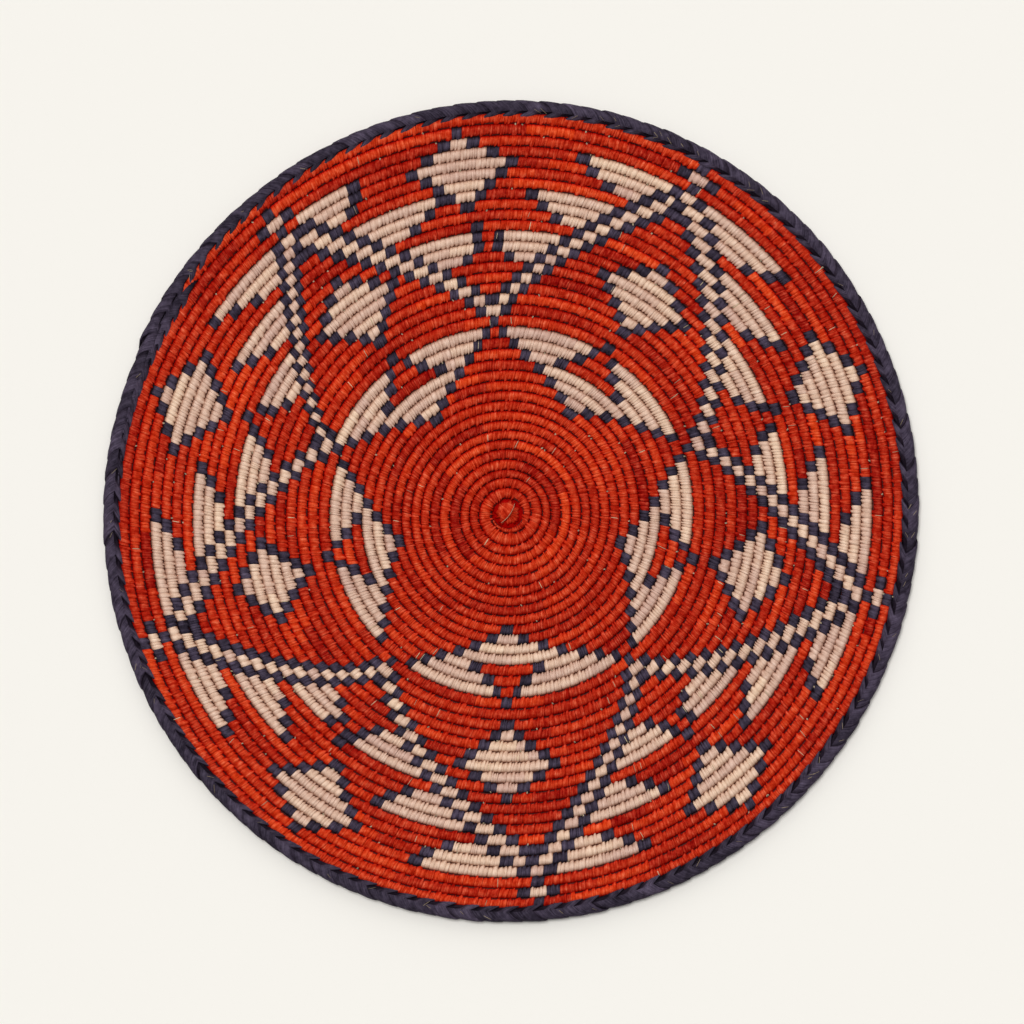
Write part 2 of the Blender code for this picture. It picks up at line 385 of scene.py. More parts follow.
def dyed_navy_leaf():
    """Navy palm leaf: nearly black, with a dull violet cast."""
    return leaf_material(
        "dyed_navy_palm_leaf", bpy.context.scene.basket_leaf.navy, spread=0.3,
        painted_shade_tone=(0.30, 0.26, 0.28), roughness=0.55, contrast=0.55, deepening=0.1,
        hue_shift=0.004)


def split_leaf():
    """Split fibres and stray ends: bare tan leaf, some of it greenish grey."""
    return leaf_material(
        "split_palm_leaf", linear("#B3A285")[:3], spread=0.45, painted_shade_tone=(0.7, 0.7, 0.65),
        roughness=0.6, contrast=0.2, deepening=0.1, hue_shift=0.01)


def finish(name, maker):
    """A material by its name, made the first time that it is asked for."""
    return bpy.data.materials.get(name) or maker()


def leaf_finishes():
    """The red, undyed and navy leaf."""
    return (finish("dyed_red_palm_leaf", dyed_red_leaf),
            finish("undyed_palm_leaf", undyed_leaf),
            finish("dyed_navy_palm_leaf", dyed_navy_leaf))


def grass_material():
    """Dry grass stalks, dull, stained red by the stitches and painted nearly black, as painted
    shade where they show between the stitches.
    """
    material, tree, shader = new_material("dry_grass_bundle", 0.85)
    # Stalks are about 1 mm thick
    place = add_node(tree, "ShaderNodeTexCoord").outputs["Object"]
    stalks = add_node(tree, "ShaderNodeTexNoise", {"Vector": place, "Scale": 900.0, "Detail": 2.0})
    # Painted shade: the stalks are drawn nearly black, as they show only in the gaps between
    # stitches
    ramp = add_node(tree, "ShaderNodeValToRGB", [stalks.outputs["Fac"]])
    ramp.color_ramp.elements[0].color = linear("#3A0603")
    ramp.color_ramp.elements[1].color = linear("#641208")
    tree.links.new(ramp.outputs[0], shader.inputs["Base Color"])
    bump = add_node(tree, "ShaderNodeBump",
                    {"Strength": 0.6, "Distance": 0.0002, "Height": stalks.outputs["Fac"]})
    tree.links.new(bump.outputs[0], shader.inputs["Normal"])
    return material


def groove(coil, turn):
    """Radius of the groove outside a turn of the coil."""
    return coil.start + turn * (coil.pitch + coil.growth * turn)


def row_radius(coil, turn):
    """Radius of the middle of a row, at a turn of the coil."""
    return (groove(coil, turn) + groove(coil, max(turn - 1, 0))) / 2


def turn_share(bearing):
    """Share of a turn from the coil's end bearing round to this one."""
    return ((END_BEARING - bearing) % 360) / 360


def away(bearing, axis):
    """Degrees from an axis to a bearing, positive clockwise."""
    return (bearing - axis + 180) % 360 - 180


def row_beside(row, bearing, axis):
    """The number that a row has where it crosses a motif's axis."""
    return round(row + turn_share(bearing) + away(bearing, axis) / 360 - turn_share(axis))


def banded(offset, half_width, band):
    """Cream within half_width, navy in the band beyond it."""
    if abs(offset) <= half_width:
        return CREAM
    return NAVY if abs(offset) <= half_width + band else None


def motif_dye(row, offset, points, rows, band, size=1):
    """Dye of a motif of navy points and of cream rows with a navy band at each side."""
    if row in points:
        return NAVY if abs(offset) <= points[row] else None
    return banded(offset, rows[row] * size, band) if row in rows else None


def crown_dye(row, offset, left, right):
    """Dye of a crown: a navy point, cream rows with a red notch, and a navy point."""
    if row in CROWN_POINTS:
        return NAVY if abs(offset) <= CROWN_POINTS[row] else None
    if row not in CROWN_ROWS:
        return None
    taper, band = CROWN_ROWS[row]
    edge = abs(left if offset < 0 else right) * taper
    if abs(offset) > edge + band:
        return None
    if abs(offset) > edge:
        return NAVY
    notch, notch_band = CROWN_NOTCH.get(row, (0, 0))
    if abs(offset) < notch:
        return RED
    return NAVY if abs(offset) < notch + notch_band else CREAM


def rough_radius(row):
    """Radius of a row in millimetres, near enough for the slope of a leg."""
    return 6.6 + 5.1 * (row - 1)


def leg_dye(row, offset, reach, i):
    """One leg of the V numbered i and the flags on its inner side. Reach is signed."""
    side = 1 if reach > 0 else -1
    hand = 0 if side < 0 else 1
    if row == LEG_HIGH:
        centre, half_width, band = reach, STAR_TIP_ROWS[row], STAR_TIP_BANDS[row]
    else:
        half_width, band = NARROW_LEGS.get((i, side), LEG_CELLS[side])
        rise = (math.log(rough_radius(row) / rough_radius(LEG_LOW))
                / math.log(rough_radius(LEG_HIGH) / rough_radius(LEG_LOW)))
        centre = reach * rise + side * LEG_BOWS[i][hand] * math.sin(math.pi * rise)
    if LEG_LOW < row < LEG_HIGH:
        found = banded(offset - centre, half_width, band)
        if found is not None:
            return found
    here = offset * side
    for top in FLAG_TOPS:
        if top - 2 <= row <= top:
            start = (centre - side * (half_width + band)) * side
            stop = start - FLAG_WIDTHS[top - row][hand] * SHORT_FLAGS.get((i, side, top), 1)
            tip = stop - FLAG_BAND
            if row == FLAG_TOPS[-1]:
                stop = max(stop, LOW_FLAG_STOP)
                tip = LOW_FLAG_TIP
            if stop <= here <= start:
                return CREAM
            if tip <= here < stop:
                return NAVY
    return None


def v_dye(row, offset, i):
    """The V round one axis: its foot, peak, right-hand tip, legs, flags and outer diamond."""
    left = away(STAR_POINTS[i], V_AXES[i])
    right = away(STAR_POINTS[(i + 1) % 5], V_AXES[i])
    peak = away(LOW_PEAKS[i], V_AXES[i])
    diamond = away(OUTER_DIAMONDS[i], V_AXES[i])
    for found in (motif_dye(row, offset, V_POINTS, V_FOOT_ROWS, V_FOOT_BAND),
                  motif_dye(row, offset - peak, LOW_PEAK_POINTS, {}, 0),
                  motif_dye(row, offset - right, STAR_TIP_POINTS, STAR_TIP_ROWS,
                            STAR_TIP_BANDS.get(row)),
                  leg_dye(row, offset, left, i),
                  leg_dye(row, offset, right, i),
                  motif_dye(row, offset - diamond, OUTER_DIAMOND_POINTS, OUTER_DIAMOND_ROWS,
                            OUTER_DIAMOND_BAND)):
        if found is not None:
            return found
    return None


def dye_at(row, bearing):
    """Dye of the star pattern in a row of the coil at a bearing."""
    for i, axis in enumerate(V_AXES):
        offset = away(bearing, axis)
        if abs(offset) < MOTIF_REACH:
            found = v_dye(row_beside(row, bearing, axis), offset, i)
            if found is not None:
                return found
    for axis, size in MID_DIAMONDS:
        found = motif_dye(row_beside(row, bearing, axis), away(bearing, axis), MID_DIAMOND_POINTS,
                          MID_DIAMOND_ROWS, MID_DIAMOND_BAND, size)
        if found is not None:
            return found
    for axis, left, right in CROWNS:
        offset = away(bearing, axis)
        if abs(offset) < MOTIF_REACH:
            found = crown_dye(row_beside(row, bearing, axis), offset, left, right)
            if found is not None:
                return found
    return RED


# Places along a row where its pattern is read
PATTERN_STEPS = 1440


def dye_runs(row, first, last, least):
    """Runs of one dye along a row, as (start turn, end turn, dye).

    A run shorter than least takes the dye before it, as a stitch has only one dye.
    """
    runs = []
    for i in range(PATTERN_STEPS):
        turn = first + (last - first) * (i + 0.5) / PATTERN_STEPS
        stop = first + (last - first) * (i + 1) / PATTERN_STEPS
        dye = dye_at(row, END_BEARING - 360 * (turn - (row - 1)))
        if runs and runs[-1][2] == dye:
            runs[-1][1] = stop
        else:
            runs.append([runs[-1][1] if runs else first, stop, dye])
    kept = runs[:1]
    for start, stop, dye in runs[1:]:
        if stop - start < least or dye == kept[-1][2]:
            kept[-1][1] = stop
        else:
            kept.append([start, stop, dye])
    return kept


# What each wrap carries to the tree that lays it
STITCH_ATTRIBUTES = ("turn", "span", "lean", "share", "plump", "dye", "before", "after", "reach",
                     "tone", "seed")
# From this row on, the stitches are as wide as beside the rim
WIDE_STITCH_ROW = 30
# The shortest run of one dye, as a share of a stitch
LEAST_RUN = 0.6
# A stitch is two wraps of leaf side by side, or in this share of them three, and they overlap
THREE_WRAPS = 0.3
WRAP_OVERLAP = 1.16
# Depth of the first seam of a row, of one between stitches and of one inside a stitch
FIRST_SEAM = 0.08
STITCH_SEAM = (0.06, 0.14)
WRAP_SEAM = (0.0, 0.03)
# Share by which a tooth is lengthened: one long tooth to a stitch, and the others drawn in
LONG_TOOTH = (-0.35, 0.35)
SHORT_TOOTH = (-0.9, -0.5)
FIRST_ROW_TOOTH = (-0.3, 0.4)
# The thicker undyed and navy strips close the groove beside them
THICK_STRIP_TOOTH = 0.4


def new_strip(draw):
    """Tone of a fresh strip of leaf, and how many stitches it lasts."""
    return draw.gauss(0.5, 0.22), draw.randint(4, 14)


def uneven_marks(draw, count, stray):
    """The whole numbers from 0 to count, those between them strayed a little."""
    return [0] + [i + draw.uniform(-stray, stray) for i in range(1, count)] + [count]


def stitch_rows(coil, row, draw):
    """One entry for each wrap of a row's stitches, in the order of STITCH_ATTRIBUTES."""
    first = FIRST_TURN if row == 1 else row - 1
    wraps = []
    tone, left_in_strip = new_strip(draw)
    lean = coil.lean
    seam = FIRST_SEAM
    widening = coil.outer_stitch - coil.inner_stitch
    width = coil.inner_stitch + widening * min(row / WIDE_STITCH_ROW, 1)
    least = LEAST_RUN * width / (math.tau * row_radius(coil, row))
    for start, stop, dye in dye_runs(row, first, row, least):
        around = math.tau * row_radius(coil, (start + stop) / 2)
        count = max(1, round((stop - start) * around / width))
        marks = uneven_marks(draw, count, 0.16)
        if dye != RED:
            tone = draw.gauss(0.5, 0.25)
        for a, b in zip(marks, marks[1:]):
            low = start + (stop - start) * a / count
            high = start + (stop - start) * b / count
            if left_in_strip == 0:
                tone, left_in_strip = new_strip(draw)
            left_in_strip -= 1
            here = min(1, max(0, tone + draw.uniform(-0.1, 0.1)))
            lean += draw.gauss(0, math.radians(2)) - 0.3 * (lean - coil.lean)
            plump = draw.uniform(0.98, 1.02)
            split = 3 if draw.random() < THREE_WRAPS else 2
            cuts = uneven_marks(draw, split, 0.2)
            seams = [seam] + [draw.uniform(*WRAP_SEAM) for _ in range(1, split)]
            seams.append(draw.uniform(*STITCH_SEAM))
            toothed = draw.randrange(split)
            for i, (c, d) in enumerate(zip(cuts, cuts[1:])):
                turn = low + (high - low) * (c + d) / 2 / split
                half_row = (groove(coil, turn) - groove(coil, max(turn - 1, 0))) / 2
                reach = draw.uniform(*(LONG_TOOTH if i == toothed else SHORT_TOOTH))
                if row == 1:
                    reach += draw.uniform(*FIRST_ROW_TOOTH)
                if dye != RED:
                    reach += THICK_STRIP_TOOTH
                wraps.append((turn, (high - low) * (d - c) / split * WRAP_OVERLAP,
                              math.tan(lean) * half_row / around, 1.0,
                              plump * draw.uniform(0.993, 1.007), dye, seams[i], seams[i + 1],
                              reach, here, draw.random()))
            seam = seams[-1]
    return wraps


# Section of a wrap across its row: across and forward, in half rows and half thicknesses
WRAP_TOOTH = ((-1.22, 0.56), (-0.95, 0.70), (-0.52, 0.88), (0.02, 1.0), (0.44, 0.90),
              (0.76, 0.67), (0.99, 0.36), (0.75, -0.85), (-0.75, -0.85), (-0.95, 0.0))
WRAP_SIDE = ((-0.96, 0.46), (-0.82, 0.62), (-0.50, 0.85), (0.02, 0.985), (0.43, 0.88),
             (0.75, 0.64), (0.98, 0.33), (0.75, -0.85), (-0.75, -0.85), (-0.90, 0.0))
WRAP_EDGE = ((-0.87, 0.36), (-0.78, 0.55), (-0.48, 0.79), (0.02, 0.93), (0.42, 0.825),
             (0.74, 0.60), (0.95, 0.28), (0.75, -0.82), (-0.75, -0.82), (-0.86, 0.0))
# Place along the wrap and the section there
WRAP_STATIONS = ((-1.0, WRAP_EDGE), (-0.72, WRAP_SIDE), (0.0, WRAP_TOOTH), (0.72, WRAP_SIDE),
                 (1.0, WRAP_EDGE))
# Steps of the leaf map along and across a wrap
WRAP_MAP = (1.1, 1.2)
# The tip of a tooth is painted this much lighter over the groove, as a painted highlight
TOOTH_LIGHT = 0.12


def stitch_mesh():
    """A leaf strip once round its row, with a tooth where it grips the row inside it."""
    shape = bmesh.new()
    uv = shape.loops.layers.uv.new("leaf")
    high = shape.verts.layers.float.new("high")
    first = shape.verts.layers.float.new("first")
    last = shape.verts.layers.float.new("last")
    rings = []
    for along, section in WRAP_STATIONS:
        # The tooth slants on, past the stitch that it overlaps
        ring = [shape.verts.new((along + max(0, -0.8 - across), forward, across))
                for across, forward in section]
        for vertex in ring:
            # The attribute high is how far the vertex stands from the coil's middle, plus a painted
            # highlight on a tooth's tip; the finishes paint shade where it is low
            is_tip = vertex.co.z < -0.9 and vertex.co.y > 0.5
            vertex[high] = abs(vertex.co.y) + (TOOTH_LIGHT if is_tip else 0)
            vertex[first] = along == -1
            vertex[last] = along == 1
        rings.append(ring)
    for i, ring in enumerate(rings):
        for j, face in enumerate(bridge(shape, ring, rings[(i + 1) % len(rings)])):
            # The wall inside stays flat, so that it doesn't turn the light at the edges
            face.smooth = i < len(rings) - 1
            for loop, (u, v) in zip(face.loops, ((i, j), (i, j + 1), (i + 1, j + 1), (i + 1, j))):
                loop[uv].uv = (u * WRAP_MAP[0], v * WRAP_MAP[1])
    return closed_mesh("stitch", shape)


# The part of a wrap further than this inside its middle, in half rows, is its tooth
TOOTH_ROOT = 0.7
# What a seam's depth does to the width of a wrap's edge, and to the painted shade there
SEAM_WIDTH = -2.5
SEAM_LIGHT = -2.4
# The rows stray over some 4 mm, the rim over some 6 mm
ROW_STRAY_SCALE = 260.0
RIM_STRAY_SCALE = 180.0


def stitch_tree():
    """Sets a stitch at each point, bends it round the coil and gives it its dye."""
    tree = new_tree("leaf_stitches", [
        ("Stitch", "Object"), ("Coil Start", "Float"), ("Row Pitch", "Float"),
        ("Pitch Growth", "Float"), ("Half Thickness", "Float"), ("End Angle", "Float"),
        ("Unevenness", "Float"), ("Red Leaf", "Material"), ("Cream Leaf", "Material"),
        ("Navy Leaf", "Material")])
    sizes = add_node(tree, "NodeGroupInput").outputs
    solid, (along, forward, across) = placed_copies(tree, sizes, "Stitch")
    (turn, span, lean, share, plump, dye, before, after, reach, first, last,
     lit) = read_attributes(tree, (*STITCH_ATTRIBUTES[:9], "first", "last", "high"))
    # Teeth of some stitches reach further over the row inside
    beyond = add_node(tree, "ShaderNodeMath", [across, TOOTH_ROOT], operation="ADD")
    beyond = add_node(tree, "ShaderNodeMath", [beyond, 0.0], operation="MINIMUM")
    across = add_node(tree, "ShaderNodeMath", [beyond, reach, across], operation="MULTIPLY_ADD")
    # The edges of a stitch dip towards the bundle and draw in at the sides
    sunk = add_node(tree, "ShaderNodeMath", [first, before], operation="MULTIPLY")
    sunk = add_node(tree, "ShaderNodeMath", [last, after, sunk], operation="MULTIPLY_ADD")
    level = add_node(tree, "ShaderNodeMath", [1.0, sunk], operation="SUBTRACT")
    plump = add_node(tree, "ShaderNodeMath", [plump, level], operation="MULTIPLY")
    narrow = add_node(tree, "ShaderNodeMath", [sunk, SEAM_WIDTH, 1.0], operation="MULTIPLY_ADD")
    across = add_node(tree, "ShaderNodeMath", [across, narrow], operation="MULTIPLY")
    # Open edges are painted darker, as painted shade, and the finishes read it from the attribute
    # high
    painted_light = add_node(tree, "ShaderNodeMath", [sunk, SEAM_LIGHT, lit], operation="MULTIPLY_ADD")
    solid = add_node(tree, "GeometryNodeStoreNamedAttribute",
                     {"Geometry": solid, "Name": "high", "Value": painted_light}, data_type="FLOAT",
                     domain="POINT")
    half_span = add_node(tree, "ShaderNodeMath", [span, 0.5], operation="MULTIPLY")
    turn = add_node(tree, "ShaderNodeMath", [along, half_span, turn], operation="MULTIPLY_ADD")
    leaned = add_node(tree, "ShaderNodeMath", [across, lean], operation="MULTIPLY")
    turn = add_node(tree, "ShaderNodeMath", [turn, leaned], operation="SUBTRACT")
    inside = add_node(tree, "ShaderNodeMath", [turn, 1.0], operation="SUBTRACT")
    inside = add_node(tree, "ShaderNodeMath", [inside, 0.0], operation="MAXIMUM")
    radii = []
    for place in (inside, turn):
        pitch = add_node(tree, "ShaderNodeMath", [place, sizes["Pitch Growth"], sizes["Row Pitch"]],
                         operation="MULTIPLY_ADD")
        radii.append(add_node(tree, "ShaderNodeMath", [place, pitch, sizes["Coil Start"]],
                              operation="MULTIPLY_ADD"))
    inner, outer = radii
    width = add_node(tree, "ShaderNodeMath", [outer, inner], operation="SUBTRACT")
    width = add_node(tree, "ShaderNodeMath", [width, share], operation="MULTIPLY")
    part = add_node(tree, "ShaderNodeMath", [across, 0.5, 0.5], operation="MULTIPLY_ADD")
    radius = add_node(tree, "ShaderNodeMath", [width, part, inner], operation="MULTIPLY_ADD")
    height = add_node(tree, "ShaderNodeMath", [forward, plump], operation="MULTIPLY")
    height = add_node(tree, "ShaderNodeMath", [height, sizes["Half Thickness"], MID_DEPTH],
                      operation="MULTIPLY_ADD")
    angle = add_node(tree, "ShaderNodeMath", [turn, math.tau, sizes["End Angle"]],
                     operation="MULTIPLY_ADD")
    angle = add_node(tree, "ShaderNodeMath", [angle, -1.0], operation="MULTIPLY")
    place = strayed_place(tree, turned_place(tree, radius, height, angle), ROW_STRAY_SCALE,
                          sizes["Unevenness"])
    shaped = add_node(tree, "GeometryNodeSetPosition", {"Geometry": solid, "Position": place})
    for number, label in ((RED, "Red Leaf"), (CREAM, "Cream Leaf"), (NAVY, "Navy Leaf")):
        chosen = add_node(tree, "ShaderNodeMath", [dye, float(number), 0.1], operation="COMPARE")
        shaped = add_node(tree, "GeometryNodeSetMaterial",
                          {"Geometry": shaped, "Selection": chosen, "Material": sizes[label]})
    add_node(tree, "NodeGroupOutput", [shaped])
    return tree


def grown(name, points, attributes, tree, values):
    """Run a tree on points that carry attributes, and return the plain mesh."""
    seed_mesh = bpy.data.meshes.new(name + "_points")
    seed_mesh.vertices.add(len(points))
    for i, label in enumerate(attributes):
        layer = seed_mesh.attributes.new(label, "FLOAT", "POINT")
        layer.data.foreach_set("value", [float(point[i]) for point in points])
    carrier = bpy.data.objects.new(name + "_points", seed_mesh)
    bpy.context.scene.collection.objects.link(carrier)
    modifier = carrier.modifiers.new("Grow", "NODES")
    modifier.node_group = tree
    for item in tree.interface.items_tree:
        if item.in_out == "INPUT" and item.name in values:
            modifier[item.identifier] = values[item.name]
    evaluated = carrier.evaluated_get(bpy.context.evaluated_depsgraph_get())
    mesh = bpy.data.meshes.new_from_object(evaluated)
    mesh.name = name
    bpy.data.objects.remove(carrier)
    bpy.data.meshes.remove(seed_mesh)
    return mesh


# The coil is this share of its radius longer one way than a circle, and shorter across it
OVAL_SHARE = 0.00577
OVAL_PHASE = 0.955
# Where the rows lie further out than true circles, or further in: by how much, at what radius
# and over what spread
SWELLS = ((0.0016, 0.0135, 0.0055), (0.0010, 0.030, 0.013), (-0.0012, 0.072, 0.022),
          (0.0006, 0.114, 0.022))
# How far the coil lies off the rim's centre, to the right and up, and its inner rows off that
COIL_SHIFT = (0.0004, -0.0007)
INNER_SHIFT = (-0.0006, -0.0011)
# Spreads of the knot and of the inner rows, and where the coil ends and over what step
KNOT_SPREAD = 0.025
INNER_SPREAD = 0.07
COIL_EDGE = 0.193
COIL_EDGE_STEP = 0.008


def vertex_places(mesh):
    """The places of a mesh's vertices, as a table with a line for each."""
    place = np.empty(len(mesh.vertices) * 3)
    mesh.vertices.foreach_get("co", place)
    return place.reshape(-1, 3)


def settle(mesh):
    """Draw true circles a little out of round, as the hand-worked coil is.

    Its rows lie a little low and to the right of the rim's centre, those near the knot lowest,
    and some are wider than others.
    """
    place = vertex_places(mesh)
    x, z = place[:, 0].copy(), place[:, 2].copy()
    radius = np.hypot(x, z)
    stretch = 1 - OVAL_SHARE * np.cos(2 * np.arctan2(z, x) + OVAL_PHASE)
    swell = sum(height * np.exp(-((radius - middle) / spread) ** 2)
                for height, middle, spread in SWELLS)
    stretch = stretch + swell / np.maximum(radius, 0.001)
    around_knot = 1 - np.exp(-(radius / KNOT_SPREAD) ** 2)
    near = np.exp(-(radius / INNER_SPREAD) ** 2) * around_knot
    inside = np.clip((COIL_EDGE - radius) / COIL_EDGE_STEP, 0, 1) * around_knot
    for i, (axis, start) in enumerate(((0, x), (2, z))):
        place[:, axis] = start * stretch + INNER_SHIFT[i] * near + COIL_SHIFT[i] * inside
    mesh.vertices.foreach_set("co", place.ravel())
    mesh.update()


def add_piece(name, mesh, nodes):
    """Settle a mesh, make it a piece that rides on the basket, and let it stand for CAD nodes."""
    settle(mesh)
    piece = bpy.data.objects.new(name, mesh)
    bpy.context.scene.collection.objects.link(piece)
    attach(piece, BODY)
    if nodes:
        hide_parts(*nodes)


def coil_values(coil, stitch):
    """What the tree of the stitches is given."""
    red, cream, navy = leaf_finishes()
    return {"Stitch": stitch, "Coil Start": coil.start, "Row Pitch": coil.pitch,
            "Pitch Growth": coil.growth, "Half Thickness": coil.thickness / 2,
            "End Angle": END_ANGLE, "Unevenness": coil.unevenness,
            "Red Leaf": red, "Cream Leaf": cream, "Navy Leaf": navy}


class BASKET_OT_wrap_rows(bpy.types.Operator):
    """Dress each row of the coil with its leaf stitches"""
    bl_idname = "basket.wrap_rows"
    bl_label = "Wrap rows"

    def execute(self, context):
        coil = context.scene.basket_coil
        draw = random.Random(coil.seed)
        stitch = bpy.data.objects.new("stitch", stitch_mesh())
        tree = stitch_tree()
        values = coil_values(coil, stitch)
        for row in range(1, ROW_COUNT + 1):
            name = f"stitched_row_{row:02d}"
            mesh = grown(name, stitch_rows(coil, row, draw), STITCH_ATTRIBUTES, tree, values)
            add_piece(name, mesh, [f"wrap_row_{row:02d}"])
        bpy.data.objects.remove(stitch)
        return {"FINISHED"}


# The tail's wraps, and the share of a row's width that it starts with and loses
TAIL_WRAPS = 20
TAIL_SHARE = 0.85
TAIL_TAPER = 0.6


class BASKET_OT_tail(bpy.types.Operator):
    """Dress the coil's tapering end in navy leaf"""
    bl_idname = "basket.tail"
    bl_label = "Coil tail"

    def execute(self, context):
        coil = context.scene.basket_coil
        draw = random.Random(coil.seed + 1)
        stitch = bpy.data.objects.new("stitch", stitch_mesh())
        span = TAIL_TURNS / TAIL_WRAPS * 0.99
        points = []
        for i in range(TAIL_WRAPS):
            turn = ROW_COUNT + TAIL_TURNS * (i + 0.5) / TAIL_WRAPS
            share = TAIL_SHARE - TAIL_TAPER * (i + 0.5) / TAIL_WRAPS
            lean = 0.0006 / (math.tau * row_radius(coil, turn))
            points.append((turn, span, lean, share, 0.9, NAVY, 0.05, 0.05, 0.0, draw.random(),
                           draw.random()))
        mesh = grown("stitched_tail", points, STITCH_ATTRIBUTES, stitch_tree(),
                     coil_values(coil, stitch))
        add_piece("stitched_tail", mesh, ["coil_tail"])
        bpy.data.objects.remove(stitch)
        return {"FINISHED"}


def tube_mesh(name, stations, sides, half_thickness, closed):
    """A flat tube along stations of (angle, radius, half width), capped or closed on itself."""
    shape = bmesh.new()
    rings = []
    for angle, radius, half_width in stations:
        ring = []
        for j in range(sides):
            turn = math.tau * j / sides
            out = radius + half_width * math.cos(turn)
            forward = half_thickness * math.sin(turn)
            ring.append(shape.verts.new((out * math.cos(angle), -MID_DEPTH - forward,
                                         out * math.sin(angle))))
        rings.append(ring)
    pairs = list(zip(rings, rings[1:]))
    if closed:
        pairs.append((rings[-1], rings[0]))
    for a, b in pairs:
        for face in bridge(shape, a, b):
            face.smooth = True
    if not closed:
        shape.faces.new(rings[0])
        shape.faces.new(rings[-1])
    return closed_mesh(name, shape)


# Stations of the grass bundle to a turn, its sides, and its half sizes as shares of its row's
BUNDLE_STEPS = 72
BUNDLE_SIDES = 8
BUNDLE_WIDTH = 0.51
BUNDLE_THICKNESS = 0.3


class BASKET_OT_foundation(bpy.types.Operator):
    """Lay the grass bundle that the stitches wrap"""
    bl_idname = "basket.foundation"
    bl_label = "Foundation"

    def execute(self, context):
        coil = context.scene.basket_coil
        first = int(FIRST_TURN * BUNDLE_STEPS)
        last = int((ROW_COUNT + TAIL_TURNS) * BUNDLE_STEPS)
        stations = []
        for i in range(first, last + 1):
            turn = i / BUNDLE_STEPS
            width = groove(coil, turn) - groove(coil, max(turn - 1, 0))
            stations.append((END_ANGLE + math.tau * turn, row_radius(coil, turn),
                             width * BUNDLE_WIDTH))
        mesh = tube_mesh("grass_bundle", stations, BUNDLE_SIDES, coil.thickness * BUNDLE_THICKNESS,
                         False)
        mesh.materials.append(grass_material())
        add_piece("grass_bundle", mesh, ["foundation_bundle"])
        return {"FINISHED"}


# Points across a flap of leaf, and the leaf map's steps across and along it
FLAP_POINTS = 5
FLAP_MAP = (1.2, 1.5)


def add_flap(shape, uv, outline, angle, base, thickness, bow):
    """A folded end of leaf lying on the knot: fibres run along its angle."""
    last = FLAP_POINTS - 1
    run = Vector((math.cos(angle), math.sin(angle)))
    side = Vector((-run.y, run.x))
    top, under = [], []
    for along, across_low, across_high, lift in outline:
        for i in range(FLAP_POINTS):
            across = across_low + (across_high - across_low) * i / last
            crown = bow * (1 - (2 * i / last - 1) ** 2)
            spot = run * along + side * across
            top.append(shape.verts.new((spot.x, -MID_DEPTH - base - lift - crown, spot.y)))
            under.append(shape.verts.new((spot.x, -MID_DEPTH - base + thickness, spot.y)))
    rows = len(outline)
    for i in range(rows - 1):
        for j in range(last):
            a, b = i * FLAP_POINTS + j, (i + 1) * FLAP_POINTS + j
            face = shape.faces.new((top[a], top[a + 1], top[b + 1], top[b]))
            face.smooth = True
            for loop, (u, v) in zip(face.loops, ((j, i), (j + 1, i), (j + 1, i + 1), (j, i + 1))):
                loop[uv].uv = (u * FLAP_MAP[0], v * FLAP_MAP[1])
            shape.faces.new((under[b], under[b + 1], under[a + 1], under[a]))
    edge = [i * FLAP_POINTS for i in range(rows)]
    edge += [(rows - 1) * FLAP_POINTS + j for j in range(1, FLAP_POINTS)]
    edge += [i * FLAP_POINTS + last for i in range(rows - 2, -1, -1)]
    edge += list(range(last - 1, 0, -1))
    for a, b in zip(edge, edge[1:] + edge[:1]):
        shape.faces.new((top[a], top[b], under[b], under[a]))


def mark(mesh, tone, seed, heights):
    """Give a mesh the attributes that the leaf finishes read, each one value or a list."""
    for label, values in (("tone", tone), ("seed", seed), ("high", heights)):
        layer = mesh.attributes.new(label, "FLOAT", "POINT")
        if not hasattr(values, "__len__"):
            values = [values] * len(mesh.vertices)
        layer.data.foreach_set("value", values)


# Rings of the dish under the knot: share of its reach, and height over the coil's middle
KNOT_DISH = ((0.3, 0.0), (0.6, -0.0001), (0.85, -0.0006), (1.0, -0.0012), (1.22, -0.0018))
KNOT_SPOKES = 32
KNOT_REACH = 0.97
PLEATS = 19
# A broad turn of leaf lies over the pleats on the upper left: where along it, its two edges
# and its lift there, as shares of the reach
BROAD_TURN = ((-0.24, -0.52, 0.5, -0.02), (-0.16, -0.62, 0.58, 0.03), (0.15, -0.66, 0.62, 0.05),
              (0.45, -0.56, 0.5, 0.03), (0.7, -0.34, 0.24, -0.02), (0.84, -0.16, 0.06, -0.09))
BROAD_TURN_ANGLE = math.radians(138)
# The pale fibre along its edge
KNOT_FIBRE_ANGLE = math.radians(55)
KNOT_FIBRE_HALF_WIDTH = 0.00008
# The knot is painted darker outside this share of its reach, as painted shade where its pleats turn
# under
KNOT_DARK_FROM = 0.68


def pleat(draw, angle, reach):
    """A radial fold of the knot, as the outline, angle and the rest that add_flap takes."""
    half = reach * draw.uniform(0.07, 0.2)
    lift = reach * draw.uniform(0.0, 0.12)
    tip = reach * draw.uniform(0.72, 0.97)
    outline = [(reach * 0.05, -half * 0.3, half * 0.3, 0.0),
               (reach * 0.4, -half * 0.7, half * 0.6, 0.0),
               (tip * 0.75, -half, half, lift), (tip, -half * 0.7, half * 0.5, -lift)]
    return outline, angle, reach * draw.uniform(0.0, 0.07), reach * 0.2, reach * 0.09


